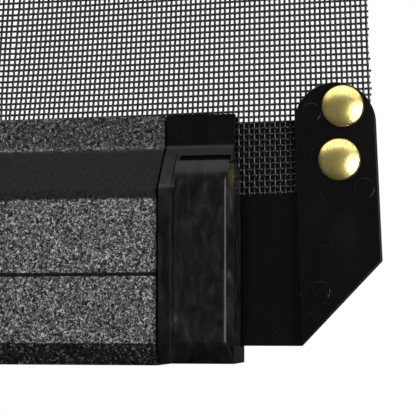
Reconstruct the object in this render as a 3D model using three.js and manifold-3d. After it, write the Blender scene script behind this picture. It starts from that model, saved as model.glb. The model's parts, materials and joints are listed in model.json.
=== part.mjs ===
// Roll-down mesh screen for a fireplace opening. A cassette on the wall holds a spring roller, and a sheet
// of woven mesh hangs from it to a pull bar, whose two ends carry guide tabs riveted through the mesh.
// Millimetres, +Z up, X along the width, the front faces -Y. The origin is the middle of the cassette's
// flat back. The bar is drawn lowered, and the bar's own parts are drawn from its bottom, on the mesh plane.
import * as THREE from 'three';
import Module from 'manifold-3d';
import { mergeVertices } from 'three/addons/utils/BufferGeometryUtils.js';

const WIDTH = 914; // over the cassette's end plates
const HEIGHT = 740; // cassette top to bar bottom, lowered
const GAP = 0.3; // clearance between pieces that touch
const PAST = 5; // how far a cutting solid runs past the face it opens
const BITE = 1; // how far two solids overlap where they are joined
const MERGE = 1e-4; // corners closer than this are one corner

const MESH_Y = -12; // plane of the hanging mesh
const MESH_THICK = 0.5;
const MESH_SIDE = 2.4; // the mesh's cut edge, inside the tab's outer edge at its shoulder
const MESH_FOOT = 45; // the mesh's lower edge, above the bar's bottom

const CASSETTE = { depth: 58, height: 62, wall: 1.8, corner: 10, plate: 5, seam: 44, lip: 8, mouth: 17 };
// The back shell is thick where the screw ports run, behind the top and behind the mouth.
const PORT_BLOCK = { depth: 10, low: 21, lipTop: -22 };
const FRONT_EDGE = { turnUp: 6, tongue: 6 }; // at the mouth, and under the back shell's top
const WALL_HOLE = { x: 300, r: 2.5 };
const BRUSH = { low: 0.5, high: 5.5 }; // above the cassette's bottom
const PORT = { r: 1.7, top: [-5.9, 25.1], foot: [-4.9, -26.5] }; // screw ports in the back shell
const ROLLER = { y: -32, r: 16, wall: 1.6, wound: 20 };
const STRIP = { thick: 1.6, halfAngle: 0.1 * Math.PI }; // clamps the mesh's top edge to the tube
const ARBOR = { r: 4, square: 8, squareEnd: -446, tip: -222 };
const COLLAR = { r: 9, outer: -434, inner: -428 };
const BUSH_INNER = -436;
const SPRING_PLUG = { outer: -244, inner: -226 };
const BOSS = { r: 8, length: 5.5, socket: 3 };
const PIN = { r: 3, length: 17, tip: 453 };
const ROLLER_PLUG = { low: 410, bore: 413, high: 444 };
const LIFT = { r: 9.5, wire: 0.9, length: 178, turns: 24, steps: 9, start: -426 };
const PIN_SPRING = { r: 2.2, wire: 0.4, length: 21.4, turns: 8, steps: 7, clear: 0.8 };
const WIRE_SIDES = 5;

const BAR = {
  half: 391, top: 67, front: 13, back: 4, flange: 3, bevel: 5.8, bevelDepth: 2.5,
  coveTop: 59.4, coveRadius: 2.5, lipRadius: 3, slope: 40, groove: 23.9, grooveWidth: 0.9, grooveDepth: 0.7,
};
const WALL = 1.7; // of the bar's extrusion
const CHAMBER = { floor: 3, frontTop: 46.8 }; // the hollow inside the bar
const SLOT = { front: 1, back: 2.3 }; // the mesh slot, each side of the mesh plane
const KEDER = { front: 2.4, low: 38.7, high: 44.7 }; // the room for the keder, below the slot
const WEIGHT = { half: 372, front: 9, back: 1, height: 25 };
const CAP = {
  gap: 0.8, proud: 0.8, lift: 0.5, length: 19.6, flangeLength: 18.4, strip: 3.2, stripProud: 0.5,
  stripTop: 56.7, flangeFoot: 52.7,
};
// The raised panel on the cap's face. Start is from the cap's inner end, it curves back in one wide arc from
// curveFoot to its top, and the groove lies over it.
const PANEL = { start: 4.2, top: 53.8, foot: 6.2, proud: 0.35, groove: 1.9, curveFoot: 46.4, curve: 40 };
const CAP_BEVEL = { wide: 1.6, deep: 2.5, radius: 1.5 }; // where the cap's face turns to its outer side
const CAP_SLOT = { front: 1, back: 2.4, foot: 4.7, web: 1.2 };
const PLUG = { length: 16, low: 6, high: 36.4, front: 10.8, back: 2 };
const TAB = {
  width: 21.4, lean: 1.5, topWidth: 21.5, reach: 16.2, foot: 5, shoulder: 27.4, thick: 1.6, corner: 64.2,
};
const PLATE = { thick: 1.5, top: 65.3, start: 2 }; // start is from the cap's inner end
const RIVETS = [{ u: 11.5, z: 68.4 }, { u: 10.5, z: 54.2 }]; // from the tab's inner edge and the bar's bottom
const RIVET = {
  head: 5.6, dome: 2.4, rim: 0.5, edge: 0.25, bore: 1.2, stem: 1.8, tip: 0.9,
  postHead: 5.4, postCrown: 4.48, back: 1.2,
};
const SCREW = { head: 3, headHigh: 1.8, crown: 2.25, shoulder: 0.99, shank: 1.4, point: 1.2 };
const END_SCREW_LENGTH = 16; // the screws of the cassette's end plates
const PLUG_SCREW = { fromEnd: 8, z: 20, length: 9, bore: 7 }; // through the bar's back into the cap's plug
const PLATE_SCREW = { fromInner: 10, z: 25, length: 10, bore: 8 }; // through the cap and the guide plate

const CAP_INNER = BAR.half + CAP.gap;
const CAP_OUTER = CAP_INNER + CAP.length;
const TAB_INNER = CAP_OUTER + TAB.reach;
const MESH_HALF = TAB_INNER + TAB.width - MESH_SIDE;
const BAR_Z = CASSETTE.height / 2 - HEIGHT;
const PLATE_INNER = WIDTH / 2 - CASSETTE.plate;
const SHELL_HALF = PLATE_INNER - GAP;
const MESH_BACK = MESH_THICK / 2 + GAP; // nearest that a piece comes to the mesh plane

const wasm = await Module();
wasm.setup();

function solid(geometry) {
  const bare = geometry.index ? geometry.toNonIndexed() : geometry.clone();
  bare.deleteAttribute('normal');
  bare.deleteAttribute('uv');
  const merged = mergeVertices(bare, MERGE);
  const index = merged.index.array;
  const kept = [];
  for (let i = 0; i < index.length; i += 3) {
    const [a, b, c] = [index[i], index[i + 1], index[i + 2]];
    if (a !== b && b !== c && c !== a) kept.push(a, b, c);
  }
  return new wasm.Manifold(new wasm.Mesh({
    numProp: 3,
    vertProperties: new Float32Array(merged.attributes.position.array),
    triVerts: new Uint32Array(kept),
  }));
}

function geometryOf(body) {
  const mesh = body.getMesh();
  const geometry = new THREE.BufferGeometry();
  geometry.setAttribute('position', new THREE.BufferAttribute(new Float32Array(mesh.vertProperties), 3));
  geometry.setIndex(new THREE.BufferAttribute(new Uint32Array(mesh.triVerts), 1));
  geometry.computeVertexNormals();
  return geometry;
}

function cut(geometry, ...tools) {
  return geometryOf(tools.reduce((body, tool) => body.subtract(solid(tool)), solid(geometry)));
}

function join(...geometries) {
  return geometryOf(geometries.map(solid).reduce((body, next) => body.add(next)));
}

// The same piece for the other end of the screen.
function mirrored(geometry) {
  const flipped = geometry.index ? geometry.toNonIndexed() : geometry.clone();
  const { array } = flipped.attributes.position;
  for (let i = 0; i < array.length; i += 9) {
    for (const k of [0, 3, 6]) array[i + k] *= -1;
    for (const k of [0, 1, 2]) [array[i + 3 + k], array[i + 6 + k]] = [array[i + 6 + k], array[i + 3 + k]];
  }
  flipped.computeVertexNormals();
  return flipped;
}

// A turned piece about the Y axis, from points of radius and height that start and end on the axis.
function turned(points, segments = 24) {
  const profile = points.map(([r, h]) => new THREE.Vector2(r, h));
  return geometryOf(solid(new THREE.LatheGeometry(profile, segments)));
}

// A section drawn in Y and Z, run along X between two places.
function alongX(shape, x0, x1, curveSegments = 5) {
  const geometry = new THREE.ExtrudeGeometry(shape, { depth: x1 - x0, bevelEnabled: false, curveSegments });
  const turn = new THREE.Matrix4().makeBasis(
    new THREE.Vector3(0, 1, 0), new THREE.Vector3(0, 0, 1), new THREE.Vector3(1, 0, 0));
  return geometry.applyMatrix4(turn).translate(x0, 0, 0);
}

// An outline drawn in X and Z, given a thickness from y0 to y1.
function sheetXZ(shape, y0, y1, curveSegments = 16) {
  const geometry = new THREE.ExtrudeGeometry(shape, { depth: y1 - y0, bevelEnabled: false, curveSegments });
  return geometry.rotateX(Math.PI / 2).translate(0, y1, 0);
}

function box(x0, x1, y0, y1, z0, z1) {
  const geometry = new THREE.BoxGeometry(x1 - x0, y1 - y0, z1 - z0);
  return geometry.translate((x0 + x1) / 2, (y0 + y1) / 2, (z0 + z1) / 2);
}

function rodX(radius, x0, x1, y = 0, z = 0, segments = 24) {
  const geometry = new THREE.CylinderGeometry(radius, radius, Math.abs(x1 - x0), segments);
  return geometry.rotateZ(-Math.PI / 2).translate((x0 + x1) / 2, y, z);
}

function rodY(radius, x, z, y0, y1, segments = 16) {
  const geometry = new THREE.CylinderGeometry(radius, radius, y1 - y0, segments);
  return geometry.translate(x, (y0 + y1) / 2, z);
}

function tubeX(outer, inner, x0, x1, segments = 14) {
  const ring = new THREE.Shape().absarc(0, 0, outer, 0, 2 * Math.PI, false);
  ring.holes.push(new THREE.Path().absarc(0, 0, inner, 0, 2 * Math.PI, true));
  return alongX(ring, x0, x1, segments);
}

class Helix extends THREE.Curve {
  constructor(radius, length, turns) {
    super();
    Object.assign(this, { radius, length, turns });
  }

  getPoint(t, target = new THREE.Vector3()) {
    const angle = 2 * Math.PI * this.turns * t;
    return target.set(this.length * t, this.radius * Math.cos(angle), this.radius * Math.sin(angle));
  }
}

function coilX({ r, wire, length, turns, steps }) {
  const section = new THREE.Shape();
  for (let i = 0; i < WIRE_SIDES; i++) {
    const a = (2 * Math.PI * i) / WIRE_SIDES;
    section[i ? 'lineTo' : 'moveTo'](wire * Math.cos(a), wire * Math.sin(a));
  }
  return new THREE.ExtrudeGeometry(section, {
    extrudePath: new Helix(r, length, turns), steps: turns * steps, bevelEnabled: false,
  });
}

const finishes = {
  powder: { color: 0x2a2a2b, roughness: 0.55, metalness: 0.1 },
  gloss: { color: 0x101011, roughness: 0.22, metalness: 0 },
  mesh: { color: 0x1c1b1b, roughness: 0.6, metalness: 0 },
  brass: { color: 0xd9b75a, roughness: 0.22, metalness: 1 },
  steel: { color: 0x9a9c9e, roughness: 0.35, metalness: 1 },
  alloy: { color: 0xb9bbbd, roughness: 0.4, metalness: 1 },
  nylon: { color: 0xd8d6cf, roughness: 0.5, metalness: 0 },
  pile: { color: 0x1a1a1a, roughness: 0.95, metalness: 0 },
};

function piece(group, name, geometry, finish, x = 0, y = 0, z = 0) {
  const mesh = new THREE.Mesh(geometry, new THREE.MeshStandardMaterial(finishes[finish]));
  mesh.name = name;
  mesh.position.set(x, y, z);
  group.add(mesh);
  return mesh;
}

// A screw that points along +Y, with the seat of its head at y = 0.
function screwGeometry(shankLength) {
  return turned([
    [0, -SCREW.headHigh], [SCREW.crown, -SCREW.headHigh], [SCREW.head, -SCREW.shoulder],
    [SCREW.head, 0], [SCREW.shank, 0], [SCREW.shank, shankLength - SCREW.point], [0, shankLength],
  ], 12);
}

// ---- Cassette -------------------------------------------------------------------------------------------

function backShellSection() {
  const { height, wall, seam, lip } = CASSETTE;
  const h = height / 2;
  const shape = new THREE.Shape();
  shape.moveTo(0, h);
  shape.lineTo(-seam, h);
  shape.lineTo(-seam, h - wall);
  shape.lineTo(-PORT_BLOCK.depth, h - wall);
  shape.lineTo(-PORT_BLOCK.depth, PORT_BLOCK.low);
  shape.lineTo(-wall, PORT_BLOCK.low);
  shape.lineTo(-wall, PORT_BLOCK.lipTop);
  shape.lineTo(-lip, PORT_BLOCK.lipTop);
  shape.lineTo(-lip, -h);
  shape.lineTo(0, -h);
  for (const [y, z] of [PORT.top, PORT.foot]) {
    shape.holes.push(new THREE.Path().absarc(y, z, PORT.r, 0, 2 * Math.PI, true));
  }
  return shape;
}

function frontShellSection() {
  const { depth, height, wall, corner, seam, mouth } = CASSETTE;
  const h = height / 2;
  const inner = corner - wall;
  const tongue = h - wall - GAP;
  const shape = new THREE.Shape();
  shape.moveTo(-seam - GAP, h);
  shape.lineTo(-depth + corner, h);
  shape.absarc(-depth + corner, h - corner, corner, Math.PI / 2, Math.PI, false);
  shape.absarc(-depth + corner, -h + corner, corner, Math.PI, 1.5 * Math.PI, false);
  shape.lineTo(-mouth, -h);
  shape.lineTo(-mouth, -h + FRONT_EDGE.turnUp);
  shape.lineTo(-mouth - wall, -h + FRONT_EDGE.turnUp);
  shape.lineTo(-mouth - wall, -h + wall);
  shape.absarc(-depth + corner, -h + corner, inner, 1.5 * Math.PI, Math.PI, true);
  shape.absarc(-depth + corner, tongue - wall - inner, inner, Math.PI, Math.PI / 2, true);
  shape.lineTo(-seam + FRONT_EDGE.tongue, tongue - wall);
  shape.lineTo(-seam + FRONT_EDGE.tongue, tongue);
  shape.lineTo(-seam - GAP, tongue);
  return shape;
}

function endPlateSection() {
  const { depth, height, corner } = CASSETTE;
  const h = height / 2;
  const shape = new THREE.Shape();
  shape.moveTo(0, -h);
  shape.lineTo(0, h);
  shape.lineTo(-depth + corner, h);
  shape.absarc(-depth + corner, h - corner, corner, Math.PI / 2, Math.PI, false);
  shape.absarc(-depth + corner, -h + corner, corner, Math.PI, 1.5 * Math.PI, false);
  return shape;
}

function endPlate(side) {
  const [x0, x1] = [side * PLATE_INNER, (side * WIDTH) / 2].sort((a, b) => a - b);
  const bossEnd = side * (PLATE_INNER - BOSS.length);
  const socketEnd = side * (PLATE_INNER + BOSS.socket);
  const body = join(
    alongX(endPlateSection(), x0, x1),
    rodX(BOSS.r, bossEnd, side * (PLATE_INNER + BITE), ROLLER.y, 0),
  );
  const mouth = side * (PLATE_INNER - BOSS.length - PAST);
  const half = ARBOR.square / 2 + GAP;
  const socket = side > 0
    ? rodX(PIN.r + GAP, mouth, socketEnd, ROLLER.y, 0)
    : box(socketEnd, mouth, ROLLER.y - half, ROLLER.y + half, -half, half);
  const screwHoles = [PORT.top, PORT.foot].flatMap(([y, z]) => [
    rodX(PORT.r, side * (PLATE_INNER - PAST), side * (WIDTH / 2 + PAST), y, z, 16),
    rodX(SCREW.head + GAP, side * (WIDTH / 2 - SCREW.headHigh - GAP), side * (WIDTH / 2 + PAST), y, z),
  ]);
  return cut(body, socket, ...screwHoles);
}

function makeCassette() {
  const group = new THREE.Group();
  const wallHoles = [-WALL_HOLE.x, WALL_HOLE.x].map((x) => (
    rodY(WALL_HOLE.r, x, 0, -CASSETTE.wall - PAST, PAST)));
  const back = cut(alongX(backShellSection(), -SHELL_HALF, SHELL_HALF), ...wallHoles);
  piece(group, 'cassette_back', back, 'powder');
  piece(group, 'cassette_front', alongX(frontShellSection(), -SHELL_HALF, SHELL_HALF), 'powder');
  const { height, lip, mouth } = CASSETTE;
  const pile = [BRUSH.low - height / 2, BRUSH.high - height / 2];
  const backPile = box(-SHELL_HALF, SHELL_HALF, MESH_Y + MESH_BACK, -lip - GAP, ...pile);
  const frontPile = box(-SHELL_HALF, SHELL_HALF, -mouth + GAP, MESH_Y - MESH_BACK, ...pile);
  piece(group, 'slot_brush_back', backPile, 'pile');
  piece(group, 'slot_brush_front', frontPile, 'pile');
  for (const side of [-1, 1]) {
    const label = side < 0 ? 'left' : 'right';
    piece(group, `end_plate_${label}`, endPlate(side), 'gloss');
    for (const [place, [y, z]] of [['upper', PORT.top], ['lower', PORT.foot]]) {
      const seat = side * (WIDTH / 2 - SCREW.headHigh);
      const name = `end_plate_screw_${label}_${place}`;
      const screw = piece(group, name, screwGeometry(END_SCREW_LENGTH), 'steel', seat, y, z);
      screw.rotation.z = (side * Math.PI) / 2;
    }
  }
  return group;
}

// ---- Spring roller: parts are drawn about the roller's axis -----------------------------------------------

function retainingStrip() {
  const shape = new THREE.Shape();
  const [from, to] = [Math.PI / 2 - STRIP.halfAngle, Math.PI / 2 + STRIP.halfAngle];
  shape.absarc(0, 0, ROLLER.r + STRIP.thick, from, to, false);
  shape.absarc(0, 0, ROLLER.r + GAP, to, from, true);
  return alongX(shape, -MESH_HALF, MESH_HALF);
}

function makeRoller() {
  const group = new THREE.Group();
  group.position.set(0, ROLLER.y, 0);
  const bore = ARBOR.r + GAP;
  const fit = ROLLER.r - ROLLER.wall - GAP;
  const arborHead = -(PLATE_INNER + BOSS.socket - GAP);
  const square = ARBOR.square / 2;
  const arbor = join(
    box(arborHead, ARBOR.squareEnd, -square, square, -square, square),
    rodX(ARBOR.r, ARBOR.squareEnd - BITE, ARBOR.tip),
  );
  piece(group, 'spring_arbor', arbor, 'steel');
  piece(group, 'arbor_collar', tubeX(COLLAR.r, bore, COLLAR.outer, COLLAR.inner), 'nylon');
  piece(group, 'lift_spring', coilX(LIFT), 'steel', LIFT.start);
  const tube = tubeX(ROLLER.r, ROLLER.r - ROLLER.wall, -MESH_HALF, MESH_HALF);
  piece(group, 'roller_tube', tube, 'alloy');
  piece(group, 'roller_bush', tubeX(fit, bore, -ROLLER_PLUG.high, BUSH_INNER), 'nylon');
  piece(group, 'spring_plug', tubeX(fit, bore, SPRING_PLUG.outer, SPRING_PLUG.inner), 'nylon');
  const { low, bore: boreEnd, high } = ROLLER_PLUG;
  const plug = cut(rodX(fit, low, high, 0, 0, 28), rodX(PIN.r + GAP, boreEnd, high + PAST));
  piece(group, 'roller_plug', plug, 'nylon');
  piece(group, 'idler_pin', rodX(PIN.r, PIN.tip - PIN.length, PIN.tip), 'steel');
  piece(group, 'idler_spring', coilX(PIN_SPRING), 'steel', boreEnd + PIN_SPRING.clear);
  piece(group, 'roller_strip', retainingStrip(), 'nylon');
  const roll = tubeX(ROLLER.wound - MESH_BACK, ROLLER.r + STRIP.thick + GAP, -MESH_HALF, MESH_HALF);
  piece(group, 'mesh_roll', roll, 'mesh');
  return group;
}

// ---- Pull bar: parts are drawn from the bar's bottom, on the mesh plane -----------------------------------

// The front of the section, from the bottom bevel up over the finger cove to the top of the flange. The
// cove is a straight slope between the round lip of the body and a small hollow at the foot of the flange.
function drawFront(shape, proud, lift, grooved) {
  const { front, flange, top, bevel, bevelDepth, coveTop, coveRadius, lipRadius } = BAR;
  const face = -front - proud;
  const hollow = -flange - proud - coveRadius;
  const lip = face + lipRadius;
  const lean = THREE.MathUtils.degToRad(BAR.slope);
  const radii = coveRadius + lipRadius;
  const straight = (front - flange - radii * (1 - Math.cos(lean))) / Math.sin(lean);
  const lipHeight = coveTop - radii * Math.sin(lean) - straight * Math.cos(lean);
  shape.lineTo(face + bevelDepth, lift);
  shape.lineTo(face, bevel);
  if (grooved) {
    const { groove, grooveWidth, grooveDepth } = BAR;
    shape.lineTo(face, groove - grooveWidth / 2);
    shape.lineTo(face + grooveDepth, groove - grooveWidth / 2);
    shape.lineTo(face + grooveDepth, groove + grooveWidth / 2);
    shape.lineTo(face, groove + grooveWidth / 2);
  }
  shape.absarc(lip, lipHeight, lipRadius, Math.PI, Math.PI - lean, true);
  shape.absarc(hollow, coveTop, coveRadius, -lean, 0, false);
  shape.lineTo(-flange - proud, top);
}

function barSection() {
  const { front, back, top, bevel } = BAR;
  const shape = new THREE.Shape();
  shape.moveTo(back, 0);
  drawFront(shape, 0, 0, true);
  shape.lineTo(-SLOT.front, top);
  shape.lineTo(-SLOT.front, KEDER.high);
  shape.lineTo(-KEDER.front, KEDER.high);
  shape.lineTo(-KEDER.front, KEDER.low);
  shape.lineTo(SLOT.back, KEDER.low);
  shape.lineTo(SLOT.back, top);
  shape.lineTo(back, top);
  const chamber = new THREE.Path();
  chamber.moveTo(-front + 2 * WALL, CHAMBER.floor);
  chamber.lineTo(back - WALL, CHAMBER.floor);
  chamber.lineTo(back - WALL, KEDER.low - WALL);
  chamber.lineTo(-KEDER.front - WALL, KEDER.low - WALL);
  chamber.lineTo(-KEDER.front - WALL, CHAMBER.frontTop);
  chamber.lineTo(-front + WALL, CHAMBER.frontTop);
  chamber.lineTo(-front + WALL, bevel);
  shape.holes.push(chamber);
  return shape;
}

function capSection(proud) {
  const shape = new THREE.Shape();
  shape.moveTo(BAR.back + CAP.proud, CAP.lift);
  drawFront(shape, proud, CAP.lift, false);
  shape.lineTo(BAR.back + CAP.proud, BAR.top);
  return shape;
}

function panelSection() {
  const { top, foot, proud, curveFoot, curve } = PANEL;
  const face = -BAR.front - CAP.proud - proud;
  const lean = THREE.MathUtils.degToRad(curve);
  const radius = (top - curveFoot) / Math.sin(lean);
  const shape = new THREE.Shape();
  shape.moveTo(-BAR.flange, foot);
  shape.lineTo(face, foot);
  shape.absarc(face + radius, curveFoot, radius, Math.PI, Math.PI - lean, true);
  shape.lineTo(-BAR.flange, top);
  return shape;
}

// What is cut off the cap's outer front edge: a flat bevel that meets the panel's face in a round corner.
function capBevelTool(face) {
  const { wide, deep, radius } = CAP_BEVEL;
  const panelFace = face - PANEL.proud;
  const turn = Math.atan2(deep, wide);
  const bevelStart = panelFace + radius * (1 - Math.cos(turn));
  const middle = CAP_OUTER + ((bevelStart - face - deep) * wide) / deep - radius * Math.sin(turn);
  const shape = new THREE.Shape();
  shape.moveTo(CAP_OUTER + wide, panelFace - PAST);
  shape.lineTo(middle, panelFace - PAST);
  shape.absarc(middle, panelFace + radius, radius, -Math.PI / 2, turn - Math.PI / 2, false);
  shape.lineTo(CAP_OUTER + wide, face + 2 * deep);
  const tool = new THREE.ExtrudeGeometry(shape, {
    depth: BAR.top + 2 * PAST, bevelEnabled: false, curveSegments: 4,
  });
  return tool.translate(0, 0, -PAST);
}

// The cap of the bar's right end: a raised strip next to the bar, a raised panel beside it with a groove over
// it, a bevel on the outer edge, a slot for the mesh and the guide plate, and a plug that goes into the bar.
function endCap() {
  const { top, front, flange } = BAR;
  const face = -front - CAP.proud;
  const strip = cut(
    alongX(capSection(CAP.proud + CAP.stripProud), CAP_INNER, CAP_INNER + CAP.strip),
    box(CAP_INNER - PAST, CAP_OUTER, face - PAST, 0, CAP.stripTop, top + PAST));
  const panel = alongX(panelSection(), CAP_INNER + PANEL.start, CAP_OUTER);
  const plug = box(
    BAR.half - PLUG.length, CAP_INNER + CAP_SLOT.web, -PLUG.front, PLUG.back, PLUG.low, PLUG.high);
  const body = join(alongX(capSection(CAP.proud), CAP_INNER, CAP_OUTER), strip, panel, plug);
  const hole = SCREW.shank + GAP;
  return cut(body,
    capBevelTool(face),
    box(CAP_INNER + PANEL.start, CAP_OUTER - CAP_BEVEL.wide, face - PAST, -flange - CAP.proud,
      PANEL.top, PANEL.top + PANEL.groove),
    box(CAP_INNER + CAP.flangeLength, CAP_OUTER + PAST, face - PAST, BAR.back + PAST,
      CAP.flangeFoot, top + PAST),
    box(CAP_INNER + CAP_SLOT.web, CAP_OUTER + PAST, -CAP_SLOT.front, CAP_SLOT.back,
      CAP_SLOT.foot, top + PAST),
    box(CAP_INNER - PAST, CAP_OUTER, -CAP_SLOT.front, CAP_SLOT.back, KEDER.high - GAP, top + PAST),
    rodY(hole, CAP_INNER + PLATE_SCREW.fromInner, PLATE_SCREW.z, -PLATE_SCREW.bore, BAR.back + PAST),
    rodY(hole, BAR.half - PLUG_SCREW.fromEnd, PLUG_SCREW.z, -PLUG_SCREW.bore, BAR.back + PAST));
}

// The outline of the tab: a full round top that leans inward, and a chamfer down to a point at the inner
// edge. With a tongue it is the guide plate, whose inner part runs back into the cap's slot.
function tabOutline(withTongue) {
  const { width, lean, topWidth, foot, shoulder, corner } = TAB;
  const r = topWidth / 2;
  const middle = TAB_INNER - lean + r;
  const tongue = CAP_INNER + PLATE.start;
  const shape = new THREE.Shape();
  shape.moveTo(TAB_INNER, foot);
  shape.lineTo(TAB_INNER + width, shoulder);
  shape.lineTo(middle + r, corner);
  const end = withTongue ? Math.PI - Math.asin((PLATE.top - corner) / r) : Math.PI;
  shape.absarc(middle, corner, r, 0, end, false);
  if (withTongue) {
    shape.lineTo(tongue, PLATE.top);
    shape.lineTo(tongue, foot);
  }
  return shape;
}

function rivetHoles() {
  return RIVETS.map(({ u, z }) => rodY(RIVET.stem + GAP, TAB_INNER + u, z, -PAST, PAST));
}

function frontTab() {
  return cut(sheetXZ(tabOutline(false), -MESH_BACK - TAB.thick, -MESH_BACK), ...rivetHoles());
}

function guidePlate() {
  const screwHole = rodY(SCREW.shank + GAP, CAP_INNER + PLATE_SCREW.fromInner, PLATE_SCREW.z, -PAST, PAST);
  return cut(sheetXZ(tabOutline(true), MESH_BACK, MESH_BACK + PLATE.thick), screwHole, ...rivetHoles());
}

// The brass cap on the front: a low dome with a blind hole for the post's tip. Its base is at y = 0.
function rivetCap() {
  const { head, dome, rim, edge, bore, stem } = RIVET;
  const rise = dome - rim;
  const curve = (head * head + rise * rise) / (2 * rise);
  const points = [[0, -dome]];
  const steps = 5;
  for (let i = steps - 1; i >= 0; i--) {
    const r = head * Math.cos((i / steps) * (Math.PI / 2));
    points.push([r, curve - rise - rim - Math.sqrt(curve * curve - r * r)]);
  }
  points.push([head, -edge], [head - edge, 0], [stem + GAP, 0], [stem + GAP, -bore], [0, -bore]);
  return turned(points, 24);
}

// The post: a flat head behind the guide plate and a stem through to the cap. Its seat is at y = 0.
function rivetPost(length) {
  const { postHead, postCrown, stem, back } = RIVET;
  return turned([
    [0, -length], [stem, -length], [stem, 0], [postHead, 0],
    [postHead, back / 2], [postCrown, back], [0, back],
  ], 20);
}

function makeBar() {
  const group = new THREE.Group();
  group.position.set(0, MESH_Y, BAR_Z);
  const screwX = BAR.half - PLUG_SCREW.fromEnd;
  const barHoles = [-1, 1].map((side) => (
    rodY(SCREW.shank + GAP, side * screwX, PLUG_SCREW.z, 0, BAR.back + PAST)));
  piece(group, 'bar_extrusion', cut(alongX(barSection(), -BAR.half, BAR.half), ...barHoles), 'powder');
  const weightFoot = CHAMBER.floor + GAP;
  piece(group, 'bar_weight', box(
    -WEIGHT.half, WEIGHT.half, -WEIGHT.front, -WEIGHT.back, weightFoot, weightFoot + WEIGHT.height), 'steel');
  piece(group, 'mesh_keder', box(
    -BAR.half + GAP, BAR.half - GAP, -KEDER.front + GAP, SLOT.back - GAP, KEDER.low + GAP,
    KEDER.high - GAP), 'nylon');
  const tabFront = -MESH_BACK - TAB.thick - GAP;
  const plateBack = MESH_BACK + PLATE.thick + GAP;
  const stemLength = plateBack - tabFront + RIVET.tip;
  for (const side of [-1, 1]) {
    const label = side < 0 ? 'left' : 'right';
    const hand = (geometry) => (side < 0 ? mirrored(geometry) : geometry);
    piece(group, `end_cap_${label}`, hand(endCap()), 'gloss');
    piece(group, `guide_plate_${label}`, hand(guidePlate()), 'gloss');
    piece(group, `guide_tab_${label}`, hand(frontTab()), 'gloss');
    RIVETS.forEach(({ u, z }, i) => {
      const place = i ? 'lower' : 'upper';
      const x = side * (TAB_INNER + u);
      piece(group, `rivet_cap_${label}_${place}`, rivetCap(), 'brass', x, tabFront, z);
      piece(group, `rivet_post_${label}_${place}`, rivetPost(stemLength), 'brass', x, plateBack, z);
    });
    for (const [name, x, y, z, length] of [
      ['cap_screw', screwX, BAR.back + GAP, PLUG_SCREW.z, PLUG_SCREW.length],
      ['plate_screw', CAP_INNER + PLATE_SCREW.fromInner, BAR.back + CAP.proud + GAP,
        PLATE_SCREW.z, PLATE_SCREW.length],
    ]) {
      const screw = piece(group, `${name}_${label}`, screwGeometry(length), 'steel', side * x, y, z);
      screw.rotation.z = Math.PI;
    }
  }
  return group;
}

// ---- Mesh ---------------------------------------------------------------------------------------------

function makeMesh() {
  const sheet = box(
    -MESH_HALF, MESH_HALF, MESH_Y - MESH_THICK / 2, MESH_Y + MESH_THICK / 2, BAR_Z + MESH_FOOT, 0);
  const holes = [-1, 1].flatMap((side) => RIVETS.map(({ u, z }) => (
    rodY(RIVET.stem + GAP, side * (TAB_INNER + u), BAR_Z + z, MESH_Y - PAST, MESH_Y + PAST))));
  const group = new THREE.Group();
  piece(group, 'mesh_sheet', cut(sheet, ...holes), 'mesh');
  return group;
}

const screen = new THREE.Group();
screen.add(makeCassette(), makeRoller(), makeBar(), makeMesh());

export default screen;
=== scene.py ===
"""The looks of a roll-down mesh screen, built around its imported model. Metres, +Z up, the front faces -Y."""

import json
import math
import random

import bmesh
import bpy
import numpy as np
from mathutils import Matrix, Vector


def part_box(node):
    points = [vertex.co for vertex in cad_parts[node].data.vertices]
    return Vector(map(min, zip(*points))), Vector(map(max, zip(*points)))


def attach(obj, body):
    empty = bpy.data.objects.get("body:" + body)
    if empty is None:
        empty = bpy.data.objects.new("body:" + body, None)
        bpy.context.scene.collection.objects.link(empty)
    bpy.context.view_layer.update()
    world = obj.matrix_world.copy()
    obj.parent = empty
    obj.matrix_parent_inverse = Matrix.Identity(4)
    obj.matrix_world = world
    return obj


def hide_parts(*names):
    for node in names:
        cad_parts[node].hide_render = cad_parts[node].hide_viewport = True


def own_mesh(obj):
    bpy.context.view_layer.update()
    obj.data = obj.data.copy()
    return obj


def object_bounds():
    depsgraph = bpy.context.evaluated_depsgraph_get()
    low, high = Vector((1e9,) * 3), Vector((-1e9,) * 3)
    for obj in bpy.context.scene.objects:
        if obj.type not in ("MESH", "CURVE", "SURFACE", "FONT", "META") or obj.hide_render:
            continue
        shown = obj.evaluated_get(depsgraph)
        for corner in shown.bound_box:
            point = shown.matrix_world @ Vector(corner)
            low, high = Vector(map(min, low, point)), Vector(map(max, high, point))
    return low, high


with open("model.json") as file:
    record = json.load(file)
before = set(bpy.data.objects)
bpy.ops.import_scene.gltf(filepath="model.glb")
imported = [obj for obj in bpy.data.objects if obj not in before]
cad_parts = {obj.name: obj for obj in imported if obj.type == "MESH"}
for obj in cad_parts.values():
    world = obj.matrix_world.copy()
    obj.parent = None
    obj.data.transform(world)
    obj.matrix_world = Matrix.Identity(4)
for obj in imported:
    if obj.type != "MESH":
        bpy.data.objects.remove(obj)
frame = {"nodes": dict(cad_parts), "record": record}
cad_low, cad_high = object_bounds()

MM = 0.001
SIDES = ("left", "right")
BAR_LOW, BAR_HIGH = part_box("bar_extrusion")
SHEET_LOW, SHEET_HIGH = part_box("mesh_sheet")
SHEET_Y = (SHEET_LOW.y + SHEET_HIGH.y) / 2

# ---- Camera and stage -------------------------------------------------------------------------------------

VIEW = {"azimuth": 11.0, "elevation": -4.4, "distance": 0.39, "lens": 126.0}
AIM_FROM_CAP = Vector((-8.5 * MM, -3.0 * MM, 41.8 * MM))  # from the cap's end, the mesh and the bar's bottom
FLOOR_DROP = 0.8  # below the model's lowest point
FLOOR_HALF = 8.0
FLOOR_GLOW = 0.72
DIM = 0.05  # the world's strength as light and in reflections


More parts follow.
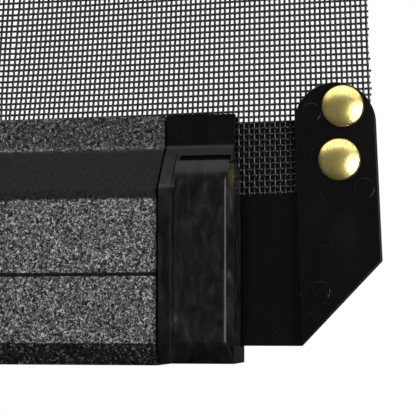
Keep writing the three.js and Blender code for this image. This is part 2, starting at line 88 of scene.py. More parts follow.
def make_camera():
    cap_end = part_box("end_cap_right")[1].x
    aim = Vector((cap_end, SHEET_Y, BAR_LOW.z)) + AIM_FROM_CAP
    azimuth = math.radians(VIEW["azimuth"])
    elevation = math.radians(VIEW["elevation"])
    level = math.cos(elevation)
    back = Vector((math.sin(azimuth) * level, -math.cos(azimuth) * level, math.sin(elevation)))
    data = bpy.data.cameras.new("camera")
    data.lens = VIEW["lens"]
    data.clip_start = 0.01
    camera = bpy.data.objects.new("camera", data)
    bpy.context.scene.collection.objects.link(camera)
    camera.location = aim + back * VIEW["distance"]
    camera.rotation_mode = "QUATERNION"
    camera.rotation_quaternion = (-back).to_track_quat("-Z", "Y")
    bpy.context.scene.camera = camera
    return aim


def area_light(name, place, target, size, watts, shape="ELLIPSE"):
    data = bpy.data.lights.new(name, "AREA")
    data.shape = shape
    data.size, data.size_y = size
    data.energy = watts
    light = bpy.data.objects.new(name, data)
    bpy.context.scene.collection.objects.link(light)
    light.location = place
    light.rotation_mode = "QUATERNION"
    light.rotation_quaternion = (Vector(target) - Vector(place)).to_track_quat("-Z", "Y")


def make_world():
    """A pale surround as the camera sees it, and a dimmer one for light and reflections."""
    world = bpy.data.worlds.new("studio")
    bpy.context.scene.world = world
    world.use_nodes = True
    tree = world.node_tree
    tree.nodes.clear()
    seen = tree.nodes.new("ShaderNodeBackground")
    seen.inputs["Color"].default_value = (1, 1, 1, 1)
    lit = tree.nodes.new("ShaderNodeBackground")
    lit.inputs["Color"].default_value = (1, 1, 1, 1)
    lit.inputs["Strength"].default_value = DIM
    path = tree.nodes.new("ShaderNodeLightPath")
    mix = tree.nodes.new("ShaderNodeMixShader")
    out = tree.nodes.new("ShaderNodeOutputWorld")
    tree.links.new(path.outputs["Is Camera Ray"], mix.inputs[0])
    tree.links.new(lit.outputs[0], mix.inputs[1])
    tree.links.new(seen.outputs[0], mix.inputs[2])
    tree.links.new(mix.outputs[0], out.inputs[0])


def make_stage(aim):
    make_world()
    bpy.context.scene.view_settings.view_transform = "Standard"
    area_light("overhead", (0.3, -0.72, 0.85), aim, (4.4, 1.2), 29, "RECTANGLE")
    area_light("right_side", (1.3, -0.77, -0.92), aim, (0.9, 1.2), 19)
    area_light("front", (0.1, -1.5, -0.52), aim, (5.4, 3.6), 6)
    area_light("behind", (-0.2, 1.5, 0.7), (0, 0, -0.35), (1.6, 1.0), 22)
    floor = bpy.data.meshes.new("floor")
    z = cad_low.z - FLOOR_DROP
    corners = ((-1, -1), (1, -1), (1, 1), (-1, 1))
    floor.from_pydata([(x * FLOOR_HALF, y * FLOOR_HALF, z) for x, y in corners], [], [(0, 1, 2, 3)])
    ground = bpy.data.objects.new("floor", floor)
    bpy.context.scene.collection.objects.link(ground)
    floor.materials.append(pale_floor())
    ground.visible_diffuse = False
    ground.visible_glossy = False


# ---- Materials --------------------------------------------------------------------------------------------

class Shader:
    """A material with its Principled shader, and short ways to add the nodes that drive it."""

    def __init__(self, name, colour, roughness, metallic=0.0, specular=0.5):
        self.material = bpy.data.materials.new(name)
        self.material.use_nodes = True
        self.tree = self.material.node_tree
        self.shader = self.tree.nodes["Principled BSDF"]
        self.shader.inputs["Base Color"].default_value = (*colour, 1)
        self.shader.inputs["Roughness"].default_value = roughness
        self.shader.inputs["Metallic"].default_value = metallic
        self.shader.inputs["Specular IOR Level"].default_value = specular
        self.place = self.tree.nodes.new("ShaderNodeTexCoord").outputs["Object"]

    def link(self, source, target):
        self.tree.links.new(source, target)

    def stretched(self, scale):
        node = self.tree.nodes.new("ShaderNodeMapping")
        node.inputs["Scale"].default_value = scale
        self.link(self.place, node.inputs["Vector"])
        return node.outputs[0]

    def noise(self, size, detail=3.0, distortion=0.0, stretch=None):
        """Noise whose cells are about size metres across."""
        node = self.tree.nodes.new("ShaderNodeTexNoise")
        node.inputs["Scale"].default_value = 1 / size
        node.inputs["Detail"].default_value = detail
        node.inputs["Distortion"].default_value = distortion
        self.link(self.stretched(stretch) if stretch else self.place, node.inputs["Vector"])
        return node.outputs["Fac"]

    def vector_math(self, operation, first, second):
        node = self.tree.nodes.new("ShaderNodeVectorMath")
        node.operation = operation
        for socket, value in zip(node.inputs, (first, second)):
            if isinstance(value, tuple):
                socket.default_value = value
            else:
                self.link(value, socket)
        return node.outputs[0]

    def tilted(self, size, amount, distortion):
        """Tilts the surface's facets at random by up to about amount, a number or a socket."""
        facets = self.tree.nodes.new("ShaderNodeTexNoise")
        facets.inputs["Scale"].default_value = 1 / size
        facets.inputs["Detail"].default_value = 1.0
        facets.inputs["Distortion"].default_value = distortion
        self.link(self.place, facets.inputs["Vector"])
        lean = self.vector_math("SUBTRACT", facets.outputs["Color"], (0.5, 0.5, 0.5))
        scaled = self.tree.nodes.new("ShaderNodeVectorMath")
        scaled.operation = "SCALE"
        self.link(lean, scaled.inputs[0])
        if isinstance(amount, float):
            scaled.inputs["Scale"].default_value = amount
        else:
            self.link(amount, scaled.inputs["Scale"])
        normal = self.tree.nodes.new("ShaderNodeNewGeometry").outputs["Normal"]
        tipped = self.vector_math("ADD", normal, scaled.outputs[0])
        self.link(self.vector_math("NORMALIZE", tipped, (0, 0, 0)), self.shader.inputs["Normal"])

    def remap(self, value, low, high, to_low, to_high):
        node = self.tree.nodes.new("ShaderNodeMapRange")
        for name, number in (("From Min", low), ("From Max", high), ("To Min", to_low), ("To Max", to_high)):
            node.inputs[name].default_value = number
        self.link(value, node.inputs["Value"])
        return node.outputs["Result"]

    def math(self, operation, first, second):
        node = self.tree.nodes.new("ShaderNodeMath")
        node.operation = operation
        for socket, value in zip(node.inputs, (first, second)):
            if isinstance(value, (int, float)):
                socket.default_value = value
            else:
                self.link(value, socket)
        return node.outputs[0]

    def colours(self, value, stops):
        node = self.tree.nodes.new("ShaderNodeValToRGB")
        ramp = node.color_ramp
        while len(ramp.elements) < len(stops):
            ramp.elements.new(0.5)
        for element, (place, colour) in zip(ramp.elements, stops):
            element.position = place
            element.color = (*colour, 1)
        self.link(value, node.inputs["Fac"])
        self.link(node.outputs["Color"], self.shader.inputs["Base Color"])

    def rough(self, value, low, high):
        self.link(self.remap(value, 0.3, 0.7, low, high), self.shader.inputs["Roughness"])

    def bump(self, height, depth, strength=1.0):
        """Each call lays another relief over the last."""
        node = self.tree.nodes.new("ShaderNodeBump")
        node.inputs["Distance"].default_value = depth
        node.inputs["Strength"].default_value = strength
        self.link(height, node.inputs["Height"])
        normal = self.shader.inputs["Normal"]
        if normal.is_linked:
            self.link(normal.links[0].from_socket, node.inputs["Normal"])
        self.link(node.outputs[0], normal)


def pale_floor():
    """It glows, so that it stays pale where the lights don't reach."""
    made = Shader("pale_floor", (0.3, 0.3, 0.3), 0.9, specular=0.0)
    made.colours(made.noise(0.3), [(0.3, (0.29, 0.29, 0.29)), (0.7, (0.31, 0.31, 0.31))])
    made.shader.inputs["Emission Color"].default_value = (1, 1, 1, 1)
    made.shader.inputs["Emission Strength"].default_value = FLOOR_GLOW
    return made.material


GRAIN = 0.6 * MM  # the size of the powder coat's grain; its pale flecks are partly the grain's own tone and partly painted glints
FACET = 3.2  # how far its facets tip
SMOOTH = ((23.35 * MM, 24.45 * MM), (43.6 * MM, 58.3 * MM))  # the groove and the cove, above the bar's bottom, where the coat is smoother and painted darker as shade
SMOOTH_EDGE = 1.2 * MM  # over which the grain and its painted glints fade at each side of them
HOLLOW_GRAIN_LEFT = 0.4  # how much of the coat's grain is left in them; the pale flecks lost there are painted shade
FLANGE = 58.3 * MM  # above this and below the foot the grain's pale flecks are fewer: painted shade on the recessed flange and on the bottom bevel, which faces down
FOOT = 5.6 * MM
FLANGE_SHADE = 0.88  # how much of the grain's pale flecks is left above the flange's line and below the foot's; the rest is painted shade
FOOT_SHADE = 0.58


def powder_coat(name, smooth=()):
    """Black powder coat of coarse shiny flecks, whose pale colour is partly painted glints; smooth in the
    hollows of the bar, and there, on the flange and on the bottom bevel the pale flecks are fewer, which is
    painted shade.
    """
    made = Shader(name, (0.05, 0.05, 0.05), 0.42, specular=0.29)
    height = made.noise(GRAIN, detail=2.0, distortion=1.2)
    facet = FACET
    if smooth:
        parts = made.tree.nodes.new("ShaderNodeSeparateXYZ")
        made.link(made.place, parts.inputs[0])
        # Painted shade: the grain and its pale flecks fade in the groove and the cove, where the facets also
        # tip less and the roughness rises.
        grain_left_and_shade = 1.0
        for low, high in smooth:
            edge = min(SMOOTH_EDGE, (high - low) / 4)
            below = made.remap(parts.outputs["Z"], BAR_LOW.z + low, BAR_LOW.z + low + edge, 1.0, HOLLOW_GRAIN_LEFT)
            above = made.remap(parts.outputs["Z"], BAR_LOW.z + high - edge, BAR_LOW.z + high, HOLLOW_GRAIN_LEFT, 1.0)
            grain_left_and_shade = made.math("MULTIPLY", grain_left_and_shade, made.math("MAXIMUM", below, above))
        height = made.math("MULTIPLY", height, grain_left_and_shade)
        # Painted shade on the flange and on the bottom bevel.
        flange, foot = BAR_LOW.z + FLANGE, BAR_LOW.z + FOOT
        shade_above = made.remap(parts.outputs["Z"], flange, flange + MM, 1.0, FLANGE_SHADE)
        shade_below = made.remap(parts.outputs["Z"], foot, foot + 0.3 * MM, FOOT_SHADE, 1.0)
        height = made.math("MULTIPLY", height, made.math("MULTIPLY", shade_above, shade_below))
        facet = made.math("MULTIPLY", grain_left_and_shade, FACET)
        made.link(made.remap(grain_left_and_shade, 0.3, 0.7, 0.8, 0.32), made.shader.inputs["Roughness"])
    else:
        made.rough(made.noise(3 * MM), 0.28, 0.36)
    # Colours of the grain: the palest stops are painted glints, and where the grain is faded they give way to
    # painted shade.
    made.colours(height, [
        (0.3, (0.005, 0.005, 0.0042)), (0.42, (0.014, 0.014, 0.014)), (0.54, (0.1, 0.1, 0.1)),
        (0.66, (0.4, 0.4, 0.39))])
    made.tilted(GRAIN * 1.3, facet, distortion=0.8)
    return made.material


def gloss_black():
    """Moulded plastic: an almost even gloss with faint flow marks and a little dust."""
    made = Shader("gloss_black", (0.003, 0.003, 0.003), 0.2, specular=0.25)
    dust = made.noise(0.5 * MM, detail=3.0, distortion=0.4)
    made.colours(dust, [
        (0.5, (0.0014, 0.0014, 0.0014)), (0.7, (0.003, 0.003, 0.003)), (0.78, (0.035, 0.035, 0.033))])
    made.rough(made.noise(16 * MM, detail=6.0, distortion=0.5, stretch=(1, 1, 0.35)), 0.1, 0.4)
    made.bump(made.noise(7 * MM, detail=2.0), 0.12 * MM, 0.6)
    made.bump(made.noise(0.3 * MM, detail=2.0), 0.006 * MM, 0.5)
    return made.material


UNSHADED_SCUFF_BAND = (6.2 * MM, 54 * MM)  # the band of the caps, above the bar's bottom, where the scuffing shows in full; under and over it, it is painted darker as shade
SCUFF_LEFT_IN_SHADE = (0.75, 0.5)  # how much of the scuffing is left under it and over it; the rest is painted shade


def scuffed_and_shaded_black():
    """The caps' plastic: scuff streaks over the face, and fewer on the flange and the bottom bevel, which is
    painted shade.
    """
    made = Shader("scuffed_and_shaded_black", (0.006, 0.006, 0.006), 0.25, specular=0.22)
    parts = made.tree.nodes.new("ShaderNodeSeparateXYZ")
    made.link(made.place, parts.inputs[0])
    # Painted shade: the scuffing fades on the flange and on the bottom bevel.
    under = made.remap(parts.outputs["Z"], BAR_LOW.z + UNSHADED_SCUFF_BAND[0] - MM, BAR_LOW.z + UNSHADED_SCUFF_BAND[0], SCUFF_LEFT_IN_SHADE[0], 1.0)
    over = made.remap(parts.outputs["Z"], BAR_LOW.z + UNSHADED_SCUFF_BAND[1], BAR_LOW.z + UNSHADED_SCUFF_BAND[1] + 2 * MM, 1.0, SCUFF_LEFT_IN_SHADE[1])
    unshaded_band = made.math("MULTIPLY", under, over)
    streaks = made.noise(2.6 * MM, detail=10.0, distortion=0.5, stretch=(1, 1, 0.45))
    scuffs_and_shade = made.math("MULTIPLY", streaks, unshaded_band)
    made.colours(scuffs_and_shade, [
        (0.26, (0.0014, 0.0014, 0.0014)), (0.4, (0.0045, 0.0045, 0.0045)), (0.52, (0.0085, 0.0085, 0.0083)),
        (0.64, (0.015, 0.015, 0.0147)), (0.74, (0.04, 0.04, 0.038))])
    made.rough(made.noise(12 * MM, detail=4.0, distortion=0.5, stretch=(1, 1, 0.4)), 0.12, 0.34)
    made.bump(made.noise(9 * MM, detail=2.0, stretch=(1, 1, 0.5)), 0.16 * MM, 0.6)
    made.bump(made.noise(0.3 * MM, detail=3.0), 0.008 * MM, 0.6)
    return made.material


def brass():
    """Bright plating that has dulled in patches."""
    made = Shader("lacquered_brass", (0.8, 0.58, 0.22), 0.2, metallic=1.0)
    patches = made.noise(1.6 * MM, detail=8.0, distortion=1.4)
    made.colours(patches, [
        (0.32, (0.68, 0.53, 0.15)), (0.5, (0.92, 0.74, 0.25)), (0.64, (1.0, 0.85, 0.36)),
        (0.8, (1.0, 0.9, 0.5))])
    made.rough(patches, 0.4, 0.24)
    made.bump(made.noise(2.2 * MM, detail=6.0, distortion=0.8), 0.05 * MM, 0.6)
    return made.material


def metal(name, dark, pale, roughness, stretch):
    """Bare metal with the drawn or turned lines of how it was made."""
    made = Shader(name, pale, roughness, metallic=1.0)
    lines = made.noise(0.4 * MM, detail=4.0, stretch=stretch)
    made.colours(lines, [(0.3, dark), (0.7, pale)])
    made.rough(lines, roughness * 0.75, roughness * 1.3)
    made.bump(lines, 0.01 * MM, 0.6)
    return made.material


def nylon():
    made = Shader("natural_nylon", (0.62, 0.6, 0.54), 0.45)
    made.colours(made.noise(6 * MM), [(0.3, (0.56, 0.54, 0.48)), (0.7, (0.68, 0.66, 0.6))])
    made.rough(made.noise(1.5 * MM), 0.36, 0.55)
    made.bump(made.noise(0.3 * MM), 0.02 * MM, 0.5)
    return made.material


def brush_pile():
    made = Shader("brush_pile", (0.012, 0.012, 0.012), 0.9, specular=0.15)
    hairs = made.noise(0.2 * MM, detail=2.0, stretch=(1, 1, 0.08))
    made.colours(hairs, [(0.35, (0.004, 0.004, 0.004)), (0.7, (0.03, 0.03, 0.03))])
    made.bump(hairs, 0.2 * MM)
    return made.material


def coated_yarn():
    """Plain values: the mesh has too many threads for its colours to be baked."""
    return Shader("coated_yarn", (0.009, 0.009, 0.009), 0.27).material


def rolled_mesh():
    """The wound mesh: pale spots about as far apart as the mesh's crossings."""
    made = Shader("rolled_mesh", (0.012, 0.012, 0.012), 0.5)
    knots = made.noise(1.4 * MM, detail=1.0, stretch=(1, 0.9, 0.9))
    made.colours(knots, [(0.4, (0.005, 0.005, 0.005)), (0.62, (0.035, 0.035, 0.035))])
    made.bump(knots, 0.3 * MM)
    return made.material


# ---- Building helpers -------------------------------------------------------------------------------------

def place(name, mesh, material, body, slot, *nodes):
    """Puts a new piece in the scene in place of CAD nodes."""
    piece = bpy.data.objects.new(name, mesh)
    bpy.context.scene.collection.objects.link(piece)
    mesh.materials.clear()
    mesh.materials.append(material)
    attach(piece, body)
    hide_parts(*nodes)
    return piece


def finished(bm, name, smooth_under):
    """The mesh, shaded smooth over edges that turn less than an angle in degrees."""
    mesh = bpy.data.meshes.new(name)
    bmesh.ops.recalc_face_normals(bm, faces=bm.faces)
    bm.to_mesh(mesh)
    bm.free()
    for polygon in mesh.polygons:
        polygon.use_smooth = True
    mesh.set_sharp_from_angle(angle=math.radians(smooth_under))
    return mesh


def flattened(piece):
    """Lets the large flat faces set the shading of the rounded edges round them."""
    modifier = piece.modifiers.new("flat_faces", "WEIGHTED_NORMAL")
    modifier.keep_sharp = True
    modifier.weight = 100


def copy_of(node):
    """A node's mesh as clean flat faces."""
    bm = bmesh.new()
    bm.from_mesh(frame["nodes"][node].data)
    bmesh.ops.remove_doubles(bm, verts=bm.verts, dist=1e-6)
    bmesh.ops.dissolve_limit(bm, angle_limit=math.radians(0.5), verts=bm.verts, edges=bm.edges)
    return bm


SHARP = math.radians(28)  # edges that turn more than this are eased


def eased(bm, width):
    """Rounds every sharp edge."""
    edges = [e for e in bm.edges if len(e.link_faces) == 2 and e.calc_face_angle(0) > SHARP]
    bmesh.ops.bevel(
        bm, geom=edges, offset=width, offset_type="OFFSET", segments=2, profile=0.5,
        affect="EDGES", clamp_overlap=True)


def eased_copy(node, body, slot, material, width):
    bm = copy_of(node)
    eased(bm, width)
    flattened(place(f"{node}_finished", finished(bm, node, 60), material, body, slot, node))


# Each ring's place out from the tab's foot and up from the bar's bottom, and its radius, in millimetres.
MARKS = ((3.1, 66.9, 2.4), (16.9, 46.4, 2.6), (5.3, 19.5, 2.4))
MARK_STEPS = 48
MARK_RIDGE = {"half_width": 0.25 * MM, "rise": 0.14 * MM, "sunk": 0.1 * MM}


def make_guide_tab(side, material):
    """The tab, with the faint round marks that a mould's ejector pins leave."""
    node = f"guide_tab_{side}"
    low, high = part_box(node)
    bm = copy_of(node)
    foot = min((v.co for v in bm.verts), key=lambda co: co.z).x
    eased(bm, 0.3 * MM)
    outward = 1 if side == "right" else -1
    half, rise, sunk = (MARK_RIDGE[k] for k in ("half_width", "rise", "sunk"))
    section = [(-half, sunk), (-half * 0.6, -rise * 0.7), (0, -rise), (half * 0.6, -rise * 0.7), (half, sunk)]
    for across, up, radius in MARKS:
        middle = Vector((foot + outward * across * MM, low.y, BAR_LOW.z + up * MM))
        rings = []
        for i in range(MARK_STEPS):
            a = 2 * math.pi * i / MARK_STEPS
            rings.append([
                bm.verts.new(middle + Vector((
                    (radius * MM + out) * math.cos(a), depth, (radius * MM + out) * math.sin(a))))
                for out, depth in section])
        for ring, following in zip(rings, rings[1:] + rings[:1]):
            for k in range(len(section)):
                m = (k + 1) % len(section)
                bm.faces.new((ring[k], ring[m], following[m], following[k]))
    flattened(place(f"{node}_finished", finished(bm, node, 60), material, "bar", "black_plastic", node))


def turned(points, segments=64):
    """A turned solid about the Y axis, from points of radius and y that start and end on the axis."""
    bm = bmesh.new()
    rings = []
    for r, y in points:
        if r == 0:
            rings.append([bm.verts.new((0, y, 0))])
        else:
            steps = [2 * math.pi * i / segments for i in range(segments)]
            rings.append([bm.verts.new((r * math.cos(a), y, r * math.sin(a))) for a in steps])
    for low, high in zip(rings, rings[1:]):
        for i in range(segments):
            k = (i + 1) % segments
            if len(low) == 1:
                bm.faces.new((low[0], high[i], high[k]))
            elif len(high) == 1:
                bm.faces.new((low[i], low[k], high[0]))
            else:
                bm.faces.new((low[i], low[k], high[k], high[i]))
    return bm


# ---- Pieces -----------------------------------------------------------------------------------------------

THREAD = (0.3 * MM, 0.24 * MM)  # half its width and half its depth
THREAD_SIDES = 6
PITCH = (1.411 * MM, 1.5875 * MM)  # across and down
CRIMP = 0.26 * MM  # how far a thread passes over or under the middle
CUT_END = 0.6 * MM  # the crosswise threads run past the last upright one
DETAIL = {"from_x": 345 * MM, "height": 56 * MM}  # where every crossing is woven
SLACK = {"lean": 0.105, "rise": 0.034, "reach": 60 * MM, "at": 352 * MM, "spread": 70 * MM, "tail": 1.6}
SETTLED = {"below_top": 40 * MM, "over": 0.3}  # from here up there is no slack, and it fades over this height
RIPPLE = {"middle": 0.4, "half_width": 0.11, "at_foot": 0.45}  # where along X the mesh shifts up and down
BENDS_UP = (0, 0.03, 0.075, 0.16, 0.41)  # above the mesh's foot, where a straight upright thread may bend
BENDS_ACROSS = (0.05, 0.22, 0.3, 0.37)  # along X, where a straight crosswise one may


def slack(x, z):
    """How the loose mesh shifts in its own plane near the right-hand corner."""
    up = np.clip(z - BAR_HIGH.z, 0, None)
    settle = 1 - np.exp(-up / SLACK["reach"])
    fade = np.clip((SHEET_HIGH.z - SETTLED["below_top"] - z) / SETTLED["over"], 0, 1)
    hump = np.where(
        x > SLACK["at"], 1 - (x - SLACK["at"]) / SLACK["spread"],
        np.exp(-(((x - SLACK["at"]) / (SLACK["tail"] * SLACK["spread"])) ** 2)))
    across = SLACK["lean"] * SLACK["reach"] * hump * settle * fade
    aside = x - RIPPLE["middle"]
    slope = aside * np.exp(-((aside / RIPPLE["half_width"]) ** 2))
    up_or_down = SLACK["rise"] * slope * fade * (RIPPLE["at_foot"] + (1 - RIPPLE["at_foot"]) * settle)
    return x + across, z + up_or_down


def thread_rings(x, y, z, upright):
    """Rings of points round a thread. An upright thread's rings lie flat and a crosswise one's stand."""
    a = 2 * math.pi * (np.arange(THREAD_SIDES) + 0.5) / THREAD_SIDES
    out, deep = THREAD[0] * np.cos(a) / np.cos(a).max(), THREAD[1] * np.sin(a) / np.sin(a).max()
    across = np.repeat(out[None], len(x), 0)
    nothing = np.zeros_like(across)
    px = x[:, None] + (across if upright else nothing)
    pz = z[:, None] + (nothing if upright else across)
    py = y[:, None] + deep[None]
    return np.stack([px, py, pz], -1).reshape(-1, 3)


def make_woven_mesh(material):
    xs = np.arange(SHEET_HIGH.x - CUT_END, SHEET_LOW.x + CUT_END / 2, -PITCH[0])[::-1]
    zs = np.arange(SHEET_LOW.z + CUT_END, SHEET_HIGH.z, PITCH[1])
    near_x = xs >= DETAIL["from_x"]
    near_z = zs <= SHEET_LOW.z + DETAIL["height"]
    far_z = np.array([*(SHEET_LOW.z + up for up in BENDS_UP), SHEET_HIGH.z])
    far_x = np.array([SHEET_LOW.x, *BENDS_ACROSS, SHEET_HIGH.x])
    stubs = random.Random(7)
    points, faces = [], []
    count = 0

    def run(along, weave, fixed, upright):
        nonlocal count
        sides = THREAD_SIDES
        full = np.full(len(along), fixed)
        x, z = slack(full, along) if upright else slack(along, full)
        ring = thread_rings(x, SHEET_Y + weave, z, upright)
        n = len(along)
        points.append(ring)
        i = np.arange(n - 1)[:, None] * sides + np.arange(sides)[None]
        j = np.arange(n - 1)[:, None] * sides + (np.arange(sides)[None] + 1) % sides
        quads = np.stack([i, j, j + sides, i + sides], -1).reshape(-1, 4)
        faces.extend((quads + count).tolist())
        faces.append([count + k for k in reversed(range(sides))])
        faces.append([count + (n - 1) * sides + k for k in range(sides)])
        count += n * sides

    def woven(crossings, index, sign):
        """Places and offsets along a thread: full at each crossing, none halfway."""
        middles = (crossings[1:] + crossings[:-1]) / 2
        along = np.empty(2 * len(crossings) - 1)
        along[::2], along[1::2] = crossings, middles
        offset = np.zeros(len(along))
        offset[::2] = sign * CRIMP * np.where((np.arange(len(crossings)) + index) % 2, 1, -1)
        return along, offset

    first_x, first_z = int(np.argmax(near_x)), int(near_z.sum())
    for i, x in enumerate(xs):
        if near_x[i]:
            along, offset = woven(zs[:first_z], i, 1)
            rest = far_z[far_z > along[-1] + PITCH[1]]
            start = np.array([SHEET_LOW.z])
            line = np.concatenate([start, along, rest])
            bend = np.concatenate([[0], offset, np.full(len(rest), -CRIMP)])
            run(line, bend, x, True)
        else:
            run(far_z, np.full(len(far_z), -CRIMP), x, True)
    for j, z in enumerate(zs):
        if near_z[j]:
            along, offset = woven(xs[first_x:], j + first_x, -1)
            rest = far_x[far_x < along[0] - PITCH[0]]
            line = np.concatenate([rest, along, [SHEET_HIGH.x + stubs.uniform(-0.25, 0.3) * MM]])
            bend = np.concatenate([np.full(len(rest), CRIMP), offset, [0]])
            run(line, bend, z, False)
        else:
            run(far_x, np.full(len(far_x), CRIMP), z, False)
    mesh = bpy.data.meshes.new("woven_mesh")
    mesh.from_pydata(np.concatenate(points).tolist(), [], faces)
    bm = bmesh.new()
    bm.from_mesh(mesh)
    bmesh.ops.recalc_face_normals(bm, faces=bm.faces)
    bm.to_mesh(mesh)
    bm.free()
    for polygon in mesh.polygons:
        polygon.use_smooth = True
    mesh.set_sharp_from_angle(angle=math.radians(80))
    piece = place("woven_mesh", mesh, material, "cassette", "screen_mesh", "mesh_sheet")
    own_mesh(piece)


DOME_STEPS = 24


def make_rivet_head(node, material):
    """A low dome with a small round rim."""
    low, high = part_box(node)
    radius = (high.x - low.x) / 2
    rim = 0.3 * MM
    rise = (high.y - low.y) - 2 * rim
    reach = radius - rim * 0.4
    curve = (reach ** 2 + rise ** 2) / (2 * rise)
    shape = [(0, 0)]
    for i in range(1, DOME_STEPS + 1):
        r = reach * i / DOME_STEPS
        shape.append((r, curve - math.sqrt(curve ** 2 - r ** 2)))
    shape += [(radius, rise + rim * 0.6), (radius, rise + rim * 1.3), (radius - rim * 0.4, rise + 2 * rim)]
    shape.append((0, rise + 2 * rim))
    bm = turned(shape)
    bmesh.ops.translate(bm, verts=bm.verts, vec=((low.x + high.x) / 2, low.y, (low.z + high.z) / 2))
    place(f"{node}_finished", finished(bm, node, 50), material, "bar", "rivet_brass", node)


def make_rivet_post(node, material):
    """The rivet's stem and its low back head."""
    low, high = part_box(node)
    radius, length = (high.x - low.x) / 2, high.y - low.y
    stem = 1.8 * MM
    head = 1.2 * MM
    shape = [(0, 0), (stem * 0.85, 0), (stem, 0.3 * MM), (stem, length - head), (radius, length - head)]
    # The back head's dome: shares of its radius, and of its depth below its top.
    for share, depth in ((1, 0.7), (0.96, 0.45), (0.86, 0.24), (0.7, 0.1), (0.4, 0.02), (0, 0)):
        shape.append((radius * share, length - depth * head))
    bm = turned(shape, 48)
    bmesh.ops.translate(bm, verts=bm.verts, vec=((low.x + high.x) / 2, low.y, (low.z + high.z) / 2))
    place(f"{node}_finished", finished(bm, node, 50), material, "bar", "rivet_brass", node)


SCREW = {"head": 3.0 * MM, "high": 1.8 * MM, "shank": 1.4 * MM, "point": 1.2 * MM}
RECESS = {"arm": 1.55 * MM, "half": 0.36 * MM, "deep": 0.95 * MM, "foot": 0.5}


def cross_radius(angle):
    """How far a cross-shaped recess reaches at an angle."""
    folded = angle % (math.pi / 2)
    folded = min(folded, math.pi / 2 - folded)
    return min(RECESS["arm"] / math.cos(folded), RECESS["half"] / max(math.sin(folded), 1e-6))


def make_screw(node, body, inward, material):
    """A pan-head screw with a cross recess. Inward points from its head to its tip."""
    low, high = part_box(node)
    inward = Vector(inward)
    middle = (low + high) / 2
    length = abs((high - low).dot(inward))
    start = middle - inward * length / 2
    side = Vector((0, 0, 1)).cross(inward)
    up = inward.cross(side)
    head, tall = SCREW["head"], SCREW["high"]
    rings = [(cross_radius, RECESS["foot"], RECESS["deep"]), (cross_radius, 1.0, 0.0)]
    for radius, depth in (
            (0.68 * head, 0.02 * tall), (0.8 * head, 0.09 * tall), (0.92 * head, 0.28 * tall),
            (0.98 * head, 0.55 * tall), (head, 0.8 * tall), (head, tall), (SCREW["shank"], tall),
            (SCREW["shank"], length - SCREW["point"])):
        rings.append((lambda angle, radius=radius: radius, 1.0, depth))
    steps = 48
    bm = bmesh.new()
    loops = []
    for reach, share, depth in rings:
        loop = []
        for i in range(steps):
            a = 2 * math.pi * i / steps
            r = reach(a) * share
            across, along = r * math.cos(a), r * math.sin(a)
            loop.append(bm.verts.new(start + inward * depth + side * across + up * along))
        loops.append(loop)
    bm.faces.new(loops[0])
    tip = bm.verts.new(start + inward * length)
    for inner, outer in zip(loops, loops[1:]):
        for i in range(steps):
            k = (i + 1) % steps
            bm.faces.new((inner[i], inner[k], outer[k], outer[i]))
    for i in range(steps):
        bm.faces.new((loops[-1][i], loops[-1][(i + 1) % steps], tip))
    place(f"{node}_finished", finished(bm, node, 40), material, body, "screw_steel", node)


COILS = {"lift_spring": (24, 0.9 * MM), "idler_spring": (8, 0.4 * MM)}  # turns, and the wire's radius
COIL_STEPS = 20  # round one turn
WIRE_SIDES = 8


def make_spring(node, body, material):
    """A spring of round wire, wound along X in its node's own space."""
    turns, wire = COILS[node]
    low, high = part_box(node)
    middle = (low + high) / 2
    radius = (high.z - low.z) / 2 - wire
    start, length = low.x + wire, high.x - low.x - 2 * wire
    bm = bmesh.new()
    rings = []
    for i in range(turns * COIL_STEPS + 1):
        angle = 2 * math.pi * i / COIL_STEPS
        outward = Vector((0, math.cos(angle), math.sin(angle)))
        line = Vector((start + length * i / (turns * COIL_STEPS), middle.y, middle.z)) + outward * radius
        ring = []
        for k in range(WIRE_SIDES):
            a = 2 * math.pi * k / WIRE_SIDES
            out, along = wire * math.cos(a), wire * math.sin(a)
            ring.append(bm.verts.new(line + outward * out + Vector((along, 0, 0))))
        rings.append(ring)
    bm.faces.new(rings[0])
    bm.faces.new(rings[-1])
    for ring, following in zip(rings, rings[1:]):
        for k in range(WIRE_SIDES):
            m = (k + 1) % WIRE_SIDES
            bm.faces.new((ring[k], ring[m], following[m], following[k]))
    return place(f"{node}_finished", finished(bm, node, 60), material, body, "spring_steel", node)


def make_springs(material):
    """Makes both springs; the idler spring, which shortens as its pin is pushed in, gets a mesh of its own."""
    make_spring("lift_spring", "cassette", material)
    idler_spring = make_spring("idler_spring", "roller", material)
    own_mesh(idler_spring)


TUFT = {
    "pitch": 2.1 * MM, "half": 0.95 * MM, "share": 0.46, "lean": 0.5 * MM, "taper": 0.55, "holder": 1.4 * MM,
    "overlap": 0.2 * MM,
}


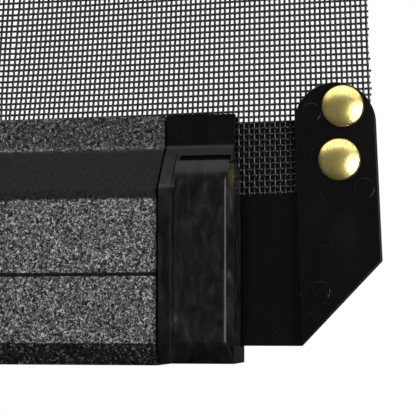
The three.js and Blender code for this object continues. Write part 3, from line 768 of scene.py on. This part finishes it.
def make_brush(node, material):
    """Tufts of pile that stand out of a narrow holder."""
    low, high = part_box(node)
    chance = random.Random(node)
    bm = bmesh.new()

    def block(corners_top, corners_foot):
        top = [bm.verts.new(c) for c in corners_top]
        foot = [bm.verts.new(c) for c in corners_foot]
        bm.faces.new(top)
        bm.faces.new(foot[::-1])
        for i in range(4):
            k = (i + 1) % 4
            bm.faces.new((top[i], foot[i], foot[k], top[k]))

    def square(x0, x1, y0, y1, z):
        return [(x0, y0, z), (x1, y0, z), (x1, y1, z), (x0, y1, z)]

    holder_foot = high.z - TUFT["holder"]
    block(square(low.x, high.x, low.y, high.y, high.z), square(low.x, high.x, low.y, high.y, holder_foot))
    rows = 2
    depth = (high.y - low.y) / rows
    half, across = TUFT["half"], TUFT["share"] * depth
    foot_half, foot_across = half * TUFT["taper"], across * TUFT["taper"]
    count = int((high.x - low.x - TUFT["pitch"]) / TUFT["pitch"])
    for row in range(rows):
        y = low.y + depth * (row + 0.5)
        for i in range(count):
            x = low.x + TUFT["pitch"] * (i + 0.75 + 0.5 * row)
            foot_x = x + chance.uniform(-1, 1) * TUFT["lean"]
            foot_z = low.z + chance.uniform(0, 0.5) * MM
            block(
                square(x - half, x + half, y - across, y + across, holder_foot + TUFT["overlap"]),
                square(foot_x - foot_half, foot_x + foot_half, y - foot_across, y + foot_across, foot_z))
    place(f"{node}_finished", finished(bm, node, 30), material, "cassette", "brush_pile", node)


def make_pieces():
    powder = powder_coat("powder_coat")
    bar_coat = powder_coat("bar_powder_coat", SMOOTH)
    gloss = gloss_black()
    scuffed_and_shaded = scuffed_and_shaded_black()
    gold = brass()
    zinc = metal("zinc_plate", (0.32, 0.33, 0.35), (0.6, 0.61, 0.62), 0.3, (1, 1, 1))
    spring = metal("oiled_steel", (0.16, 0.16, 0.17), (0.36, 0.36, 0.37), 0.32, (0.1, 1, 1))
    alloy = metal("mill_aluminium", (0.55, 0.56, 0.57), (0.78, 0.79, 0.8), 0.32, (0.05, 1, 1))
    by_slot = {
        "powder_coat": powder, "black_plastic": gloss, "screen_mesh": rolled_mesh(), "rivet_brass": gold,
        "screw_steel": zinc, "spring_steel": spring, "bare_aluminium": alloy, "nylon": nylon(),
        "brush_pile": brush_pile(),
    }
    for row in frame["record"]["subparts"]:
        data = frame["nodes"][row["node"]].data
        data.materials.clear()
        data.materials.append(by_slot[row["material_slot"]])
    make_woven_mesh(coated_yarn())
    eased_copy("bar_extrusion", "bar", "powder_coat", bar_coat, 0.25 * MM)
    for node in ("cassette_back", "cassette_front"):
        eased_copy(node, "cassette", "powder_coat", powder, 0.3 * MM)
    for side in SIDES:
        eased_copy(f"end_cap_{side}", "bar", "black_plastic", scuffed_and_shaded, 0.28 * MM)
        eased_copy(f"guide_plate_{side}", "bar", "black_plastic", gloss, 0.2 * MM)
        make_guide_tab(side, gloss)
        eased_copy(f"end_plate_{side}", "cassette", "black_plastic", gloss, 0.4 * MM)
        outward = 1 if side == "right" else -1
        for level in ("upper", "lower"):
            make_rivet_head(f"rivet_cap_{side}_{level}", gold)
            make_rivet_post(f"rivet_post_{side}_{level}", gold)
            make_screw(f"end_plate_screw_{side}_{level}", "cassette", (-outward, 0, 0), zinc)
        for kind in ("cap_screw", "plate_screw"):
            make_screw(f"{kind}_{side}", "bar", (0, -1, 0), zinc)
    for node in ("slot_brush_back", "slot_brush_front"):
        make_brush(node, by_slot["brush_pile"])
    make_springs(spring)


aim = make_camera()
make_stage(aim)
make_pieces()
